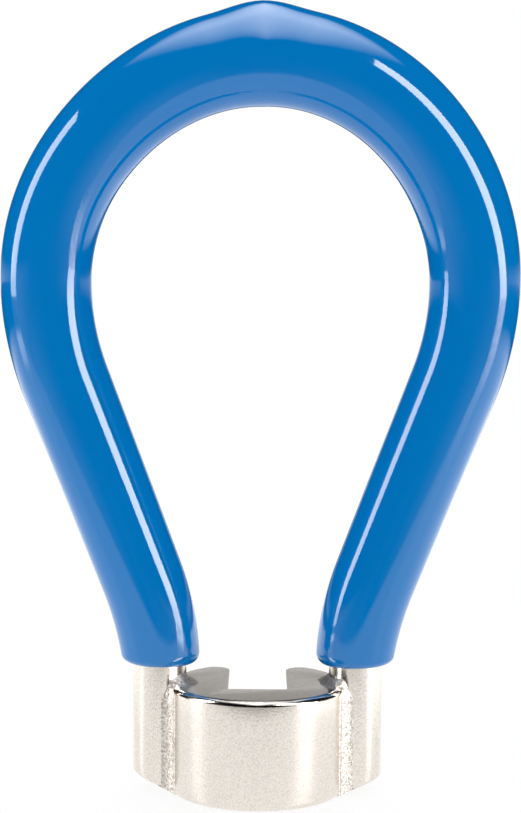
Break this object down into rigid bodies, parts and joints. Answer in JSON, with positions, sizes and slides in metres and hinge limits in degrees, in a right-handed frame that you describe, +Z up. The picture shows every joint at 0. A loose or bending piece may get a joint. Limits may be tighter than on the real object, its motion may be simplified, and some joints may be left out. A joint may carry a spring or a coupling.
{
  "type": "spoke wrench",
  "caption": "Loop-handled spoke wrench: a slotted round nipple head welded between the ends of a bent rod loop with a dipped vinyl grip.",
  "frame": {"origin": "on the head's axis, at the head's flat base", "axes": "+Z up along the head's axis towards the loop, X across the loop, +Y out of the slot's mouth"},
  "size_m": [0.0366, 0.0115, 0.0559],
  "materials": {
    "nickel_head": "satin nickel plate on turned steel",
    "nickel_rod": "satin nickel plate on drawn steel rod",
    "nickel_weld": "pebbled weld metal under nickel plate",
    "vinyl_dip": "glossy dipped vinyl"
  },
  "bodies": {
    "root": {"head": "nickel_head", "loop_rod": "nickel_rod", "dipped_grip": "vinyl_dip", "weld_front_left": "nickel_weld", "weld_front_right": "nickel_weld", "weld_rear_left": "nickel_weld", "weld_rear_right": "nickel_weld", "weld_top_left": "nickel_weld", "weld_top_right": "nickel_weld"}
  },
  "joints": []
}
